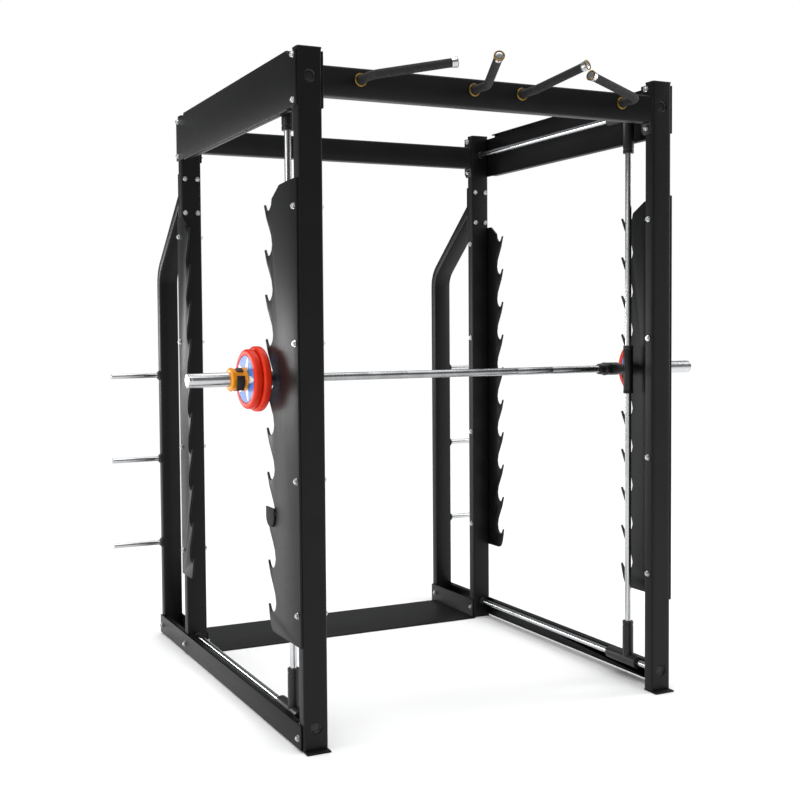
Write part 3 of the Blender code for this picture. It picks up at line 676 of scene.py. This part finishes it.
def arm(node, rod, bar):
    """A cast arm from the sleeve to the hub, waisted between them."""
    rings = []
    near, far = rod.y + 0.0150, bar.y - 0.0200
    sections = [(0.0, 0.0120, 0.0210), (0.25, 0.0112, 0.0195), (0.5, 0.0108, 0.0188)]
    sections += [(0.75, 0.0112, 0.0195), (1.0, 0.0120, 0.0205)]
    for share, half_width, half_height in sections:
        outline = rounded_rectangle(2 * half_width, 2 * half_height, 0.004)
        centre = Vector((rod.x, near + (far - near) * share, bar.z))
        rings.append(placed_ring(outline, centre, X_AXIS, Z_AXIS))
    dress(loft(f"{node}_arm", rings, SATIN), "bar_carriage", "black_housing")


def bar():
    """The shaft with its four grip marks, a black ring against each hub, and both sleeves."""
    node = "bar_shaft"
    low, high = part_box(node)
    centre = middle(node)
    start = Vector((low.x, centre.y, centre.z))
    length = high.x - low.x
    marks = []
    for share in (0.30, 0.38, 0.62, 0.70):
        at = length * share
        marks += [(at - 0.002, SHAFT_RADIUS), (at - 0.001, SHAFT_RADIUS - 0.0002)]
        marks += [(at + 0.001, SHAFT_RADIUS - 0.0002), (at + 0.002, SHAFT_RADIUS)]
    profile = [(0.0, 0.0140), (0.0005, SHAFT_RADIUS), *marks]
    profile += [(length - 0.0005, SHAFT_RADIUS), (length, 0.0140)]
    dress(turned(f"{node}_fine", profile, start, X_AXIS, BAR_STEEL), "shaft", "chrome", node)
    for side, sign in SIDES:
        hub_ring(f"{side}_hub_ring", sign, centre)
        sleeve(side, sign, centre)


def hub_ring(node, sign, centre):
    low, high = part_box(node)
    start = Vector((high.x if sign > 0 else low.x, centre.y, centre.z))
    ring = [(0.0, 0.0150), (0.0, 0.0255), (0.0010, 0.0265), (0.0055, 0.0265), (0.0068, 0.0258)]
    ring += [(0.0095, 0.0236), (0.0150, 0.0226), (0.0290, 0.0215), (0.0325, 0.0205)]
    ring += [(0.0340, 0.0185), (0.0340, 0.0150)]
    piece = turned(f"{node}_fine", ring, start, X_AXIS * -sign, SATIN, cyclic=True)
    dress(piece, "shaft", "black_housing", node)


def sleeve(side, sign, centre):
    """A sleeve with its shoulder, a groove near its end, a dished end face and a blind bore."""
    node = f"{side}_bar_sleeve"
    low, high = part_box(node)
    start = Vector((low.x if sign > 0 else high.x, centre.y, centre.z))
    length = high.x - low.x
    bore_depth, shoulder = 0.1975, 0.0045
    profile = [(bore_depth, SHAFT_BORE), (0.0, SHAFT_BORE), (0.0, 0.0298), (0.0012, SHOULDER_RADIUS)]
    profile += [(0.0035, SHOULDER_RADIUS), (shoulder, 0.0300), (shoulder, SLEEVE_RADIUS)]
    profile += [(length - 0.0120, SLEEVE_RADIUS), (length - 0.0115, 0.0245)]
    profile += [(length - 0.0100, 0.0245), (length - 0.0095, SLEEVE_RADIUS)]
    profile += [(length - 0.0025, SLEEVE_RADIUS), (length - 0.0005, 0.0232), (length, 0.0215)]
    profile += [(length, 0.0140), (length - 0.0025, 0.0130), (length - 0.0025, 0.0060)]
    piece = turned(f"{node}_fine", profile, start, X_AXIS * sign, CHROME_X)
    dress(piece, f"{side}_sleeve", "chrome", node)
    for which in ("inner", "outer"):
        weight_plate(f"{side}_{which}_weight_plate", side, sign, centre, which == "outer")
    collar(side, sign, centre)


def weight_plate(node, side, sign, centre, is_outer):
    """A urethane plate: a round red rim, a dished face on each side and a steel bush."""
    low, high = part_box(node)
    body = f"{side}_sleeve"
    thickness = high.x - low.x
    radius = (high.z - low.z) / 2
    start = Vector((low.x if sign > 0 else high.x, centre.y, centre.z))
    dish_radius = radius * 0.79
    face = []
    rim_steps, rim = 7, 0.0095
    for step in range(rim_steps + 1):
        angle = math.pi / 2 * step / rim_steps
        face.append((rim - rim * math.sin(angle), radius - rim + rim * math.cos(angle)))
    half = face + [(0.0, dish_radius + 0.0030), (0.0006, dish_radius + 0.0012), (0.0022, dish_radius)]
    half += [(0.0022, 0.0345)]
    near = list(reversed(half))
    far = [(thickness - along, at) for along, at in half]
    profile = [(0.0022, 0.0302), *near, *far, (thickness - 0.0022, 0.0302)]
    piece = turned(f"{node}_fine", profile, start, X_AXIS * sign, RED, cyclic=True, segments=PLATE_SEGMENTS)
    dress(piece, body, "red_plate", node)
    bush = [(0.0004, 0.0257), (0.0004, 0.0335), (0.0020, 0.0343), (0.0021, 0.0300)]
    bush += [(thickness - along, at) for along, at in reversed(bush)]
    dress(turned(f"{node}_bush", bush, start, X_AXIS * sign, ZINC, cyclic=True), body, "chrome")
    if is_outer:
        outer_face = start + X_AXIS * sign * thickness
        face_disc(f"{node}_outer_face", outer_face, X_AXIS * -sign, dish_radius, body)
    else:
        face_disc(f"{node}_inner_face", start, X_AXIS * sign, dish_radius, body)


def face_disc(name, face, inward, radius, body):
    """A painted disc in the dish: blue, with plain white wedges between two circles."""
    disc = [(0.0014, 0.0348), (0.0014, radius - 0.0006), (0.0021, radius - 0.0006), (0.0021, 0.0348)]
    piece = turned(f"{name}_blue", disc, face, inward, BLUE, cyclic=True, segments=PLATE_SEGMENTS)
    dress(piece, body, "red_plate")
    across, upward = directions(inward)
    builder = bmesh.new()
    wedge_count, steps = 5, 6
    for wedge in range(wedge_count):
        base_angle = 2 * math.pi * wedge / wedge_count
        near_edge, far_edge = [], []
        for step in range(steps + 1):
            share = step / steps
            reach = 0.0375 + (radius - 0.0405) * share
            half_angle = 0.30 * (1 - share) + 0.035
            near_edge.append((reach, base_angle - half_angle))
            far_edge.append((reach, base_angle + half_angle))
        outline = near_edge + far_edge[::-1]
        flat = [(reach * math.cos(angle), reach * math.sin(angle)) for reach, angle in outline]
        rings = [placed_ring(flat, face + inward * along, across, upward) for along in (0.0009, 0.0013)]
        skin(builder, rings, False)
    dress(object_from(f"{name}_white", builder, WHITE), body, "red_plate")


def collar(side, sign, centre):
    """A clamping collar: an eight-sided orange body with an end ring each side, pads and a cam lever."""
    node = f"{side}_collar"
    low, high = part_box(node)
    start = Vector((low.x if sign > 0 else high.x, centre.y, centre.z))
    length = high.x - low.x
    along = X_AXIS * sign
    body = f"{side}_sleeve"
    across, upward = directions(along)
    rings = []
    stations = [(0.0, 0.0390), (0.0015, 0.0415), (0.0090, 0.0415), (0.0115, 0.0375)]
    stations += [(length - 0.0190, 0.0375), (length - 0.0150, 0.0392), (length - 0.0115, 0.0415)]
    stations += [(length - 0.0030, 0.0415), (length - 0.0010, 0.0395), (length, 0.0360)]
    sides = 96
    for at, radius in stations:
        outline = []
        for step in range(sides):
            angle = 2 * math.pi * step / sides
            facet = math.cos(math.pi / 8) / math.cos((angle % (math.pi / 4)) - math.pi / 8)
            flattened = radius * (0.25 + 0.75 * facet)
            outline.append((flattened * math.cos(angle), flattened * math.sin(angle)))
        rings.append(placed_ring(outline, start + along * at, across, upward))
    bore = circle(0.0258, sides)
    rings.append(placed_ring(bore, start + along * length, across, upward))
    rings.append(placed_ring(bore, start, across, upward))
    piece = loft(f"{node}_fine", rings, ORANGE, cyclic=True)
    dress(piece, body, "orange_collar", node)
    pads = bmesh.new()
    for number in range(4):
        add_pad(pads, start, along, PAD_ANGLE + number * math.pi / 2, length)
    dress(object_from(f"{node}_pads", pads, MOULDING), body, "black_lever")
    lever(side)


def add_pad(builder, start, along, angle, length):
    """One jaw pad: a rounded block lying in its window on the collar's side."""
    radial = Y_AXIS * math.cos(angle) + Z_AXIS * math.sin(angle)
    tangent = -Y_AXIS * math.sin(angle) + Z_AXIS * math.cos(angle)
    centre = start + along * (length * 0.44)
    rings = []
    for lift, shrink in ((0.0340, 1.0), (0.0392, 1.0), (0.0402, 0.88)):
        outline = rounded_rectangle(0.024 * shrink, 0.024 * shrink, 0.003 * shrink)
        rings.append(placed_ring(outline, centre + radial * lift, along, tangent))
    skin(builder, rings, False)


def lever(side):
    bevel_copy(f"{side}_collar_lever", MOULDING, "black_lever", 0.0009)


# ------------------------------------------------------------------ bolts


def add_hex(builder, point, way, across_flats):
    """A chamfered hexagon head, with a washer under it and a stud end over it."""
    radius = across_flats / math.sqrt(3)
    washer, thread, height = across_flats * 0.66, radius * 0.52, HEAD_HEIGHT
    skin(builder, turned_rings([(0.0003, washer), (0.0018, washer)], point, way, SMALL), False)
    head = [(0.0021, radius), (height * 0.82, radius), (height, radius * 0.86)]
    skin(builder, turned_rings(head, point, way, 6), False)
    stud = [(height + 0.0002, thread), (height + 0.0020, thread), (height + 0.0030, radius * 0.40)]
    skin(builder, turned_rings(stud, point, way, SMALL), False)


def bolts():
    """Every visible bolt, grouped by what it fastens."""
    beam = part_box("right_side_beam")
    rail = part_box("right_base_rail")
    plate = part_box("front_right_catch_plate")
    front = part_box("front_right_upright")
    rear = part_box("rear_right_upright")
    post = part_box("right_storage_post")
    centre_x = (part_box("left_side_beam")[0].x + beam[1].x) / 2
    column_x = (front[0].x + front[1].x) / 2
    groups = {}

    def add(group, x, y, z, way, size=HEAD_WIDTH):
        builder = groups.setdefault(group, bmesh.new())
        add_hex(builder, Vector((x, y, z)), way, size)

    for _, sign in SIDES:
        outward = X_AXIS * sign
        beam_face = centre_x + sign * (beam[1].x - centre_x)
        catch_face = centre_x + sign * (plate[1].x - centre_x)
        inner_face = centre_x + sign * (front[0].x - centre_x)
        flange_face = inner_face - sign * FLANGE_THICKNESS
        for z in BEAM_BOLT_HEIGHTS:
            add("side_beam_bolts", beam_face, front[0].y + 0.021, z, outward)
            add("side_beam_bolts", beam_face, rear[0].y + 0.015, z, outward)
            for column in (front, rear):
                add("crossbeam_bolts", flange_face, column[0].y + 0.031, z, -outward)
        for y in (front[0].y + 0.034, rear[0].y + 0.026, post[1].y - 0.0285):
            add("base_rail_bolts", beam_face, y, (rail[0].z + rail[1].z) / 2 - 0.004, outward)
        for y in (rear[0].y + 0.023, post[1].y - 0.037):
            add("floor_crossmember_bolts", flange_face, y, 0.045, -outward)
        for z in CATCH_BOLT_HEIGHTS:
            for y in (front[0].y + 0.024, rear[0].y + 0.019):
                add("catch_plate_bolts", catch_face, y, z, outward)
                add("catch_plate_nuts", inner_face, y, z, -outward)
        for offset in (-0.028, 0.028):
            x = centre_x + sign * (column_x - centre_x) + offset
            for z in POST_BOLT_HEIGHTS:
                add("post_flange_bolts", x, rear[0].y, z, -Y_AXIS, SMALL_HEAD_WIDTH)
                add("post_flange_nuts", x, rear[1].y + FLANGE_THICKNESS, z, Y_AXIS, SMALL_HEAD_WIDTH)
    for name, builder in groups.items():
        dress(object_from(name, builder, ZINC, 25), "frame", "chrome")


def access_plugs():
    """Dished black plugs, set back in the front uprights' access holes."""
    builder = bmesh.new()
    dish = [(0.0060, 0.0120), (0.0075, 0.0175), (0.0045, 0.0205), (0.0040, 0.0222), (0.0100, 0.0222)]
    for side, _ in SIDES:
        low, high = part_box(f"front_{side}_upright")
        for height in access_heights():
            point = Vector(((low.x + high.x) / 2, low.y, height))
            skin(builder, turned_rings(dish, point, Y_AXIS, 48), False)
    dress(object_from("access_plugs", builder, SATIN, 25), "frame", "black_cap")


# ------------------------------------------------------------------ stage


def studio():
    low, high = Vector(CAD_BOX[0]), Vector(CAD_BOX[1])
    builder = bmesh.new()
    size = 40.0
    level = low.z - 0.0005
    spots = ((-size, -size), (size, -size), (size, size), (-size, size))
    corners = [Vector((x, y, level)) for x, y in spots]
    builder.faces.new([builder.verts.new(corner) for corner in corners])
    floor = object_from("floor", builder, pale_floor())

    world = bpy.data.worlds.new("studio")
    bpy.context.scene.world = world
    world.use_nodes = True
    nodes, links = world.node_tree.nodes, world.node_tree.links
    nodes.clear()
    output = nodes.new("ShaderNodeOutputWorld")
    mix = nodes.new("ShaderNodeMixShader")
    seen = nodes.new("ShaderNodeBackground")
    seen.inputs["Color"].default_value = (1.0, 1.0, 1.0, 1.0)
    seen.inputs["Strength"].default_value = BACKDROP
    lighting = nodes.new("ShaderNodeBackground")
    lighting.inputs["Color"].default_value = (0.96, 0.98, 1.0, 1.0)
    lighting.inputs["Strength"].default_value = AMBIENT
    path = nodes.new("ShaderNodeLightPath")
    links.new(path.outputs["Is Camera Ray"], mix.inputs["Fac"])
    links.new(lighting.outputs["Background"], mix.inputs[1])
    links.new(seen.outputs["Background"], mix.inputs[2])
    links.new(mix.outputs["Shader"], output.inputs["Surface"])

    overhead = bpy.data.lights.new("overhead", "SUN")
    overhead.energy = OVERHEAD
    overhead.angle = math.radians(85)
    lamp = bpy.data.objects.new("overhead", overhead)
    bpy.context.scene.collection.objects.link(lamp)

    target = (low + high) / 2
    softbox("rear_left_softbox", Vector((-3.3, 4.5, 1.25)), Vector((-0.8, -0.6, 1.2)), 1.6, 0.9, 55)
    softbox("left_softbox", target + Vector((-4.4, -0.6, 0.6)), target, 2.0, 2.2, 45)
    softbox("right_softbox", target + Vector((4.2, -1.2, 1.2)), target, 1.2, 3.0, 60)


def softbox(name, place_at, target, width, height, power):
    light = bpy.data.lights.new(name, "AREA")
    light.shape = "RECTANGLE"
    light.size = width
    light.size_y = height
    light.energy = power
    lamp = bpy.data.objects.new(name, light)
    lamp.location = place_at
    lamp.rotation_euler = (target - place_at).to_track_quat("-Z", "Y").to_euler()
    bpy.context.scene.collection.objects.link(lamp)


def camera():
    """A standing view from the front left, at eye height."""
    yaw, pitch, roll = math.radians(23.467), math.radians(-2.2856), math.radians(-0.6113)
    forward = Vector((math.sin(yaw) * math.cos(pitch), math.cos(yaw) * math.cos(pitch), math.sin(pitch)))
    level = Vector((math.cos(yaw), -math.sin(yaw), 0.0))
    above = level.cross(forward)
    right = level * math.cos(roll) + above * math.sin(roll)
    up = above * math.cos(roll) - level * math.sin(roll)
    lens = bpy.data.cameras.new("camera")
    lens.lens = 50.13
    lens.sensor_width = 36.0
    lens.shift_x = 0.125
    lens.shift_y = -0.031
    lens.clip_end = 200.0
    eye = bpy.data.objects.new("camera", lens)
    turn = Matrix((right, up, -forward)).transposed()
    eye.matrix_world = Matrix.Translation((-2.2599, -4.0333, 1.4044)) @ turn.to_4x4()
    bpy.context.scene.collection.objects.link(eye)
    bpy.context.scene.camera = eye


camera()
bpy.context.scene.view_settings.view_transform = "Standard"
sheet_pieces()
uprights()
guide_rods()
t_housings()
pegs()
pull_up_handles()
sliders()
bar()
bolts()
access_plugs()
studio()
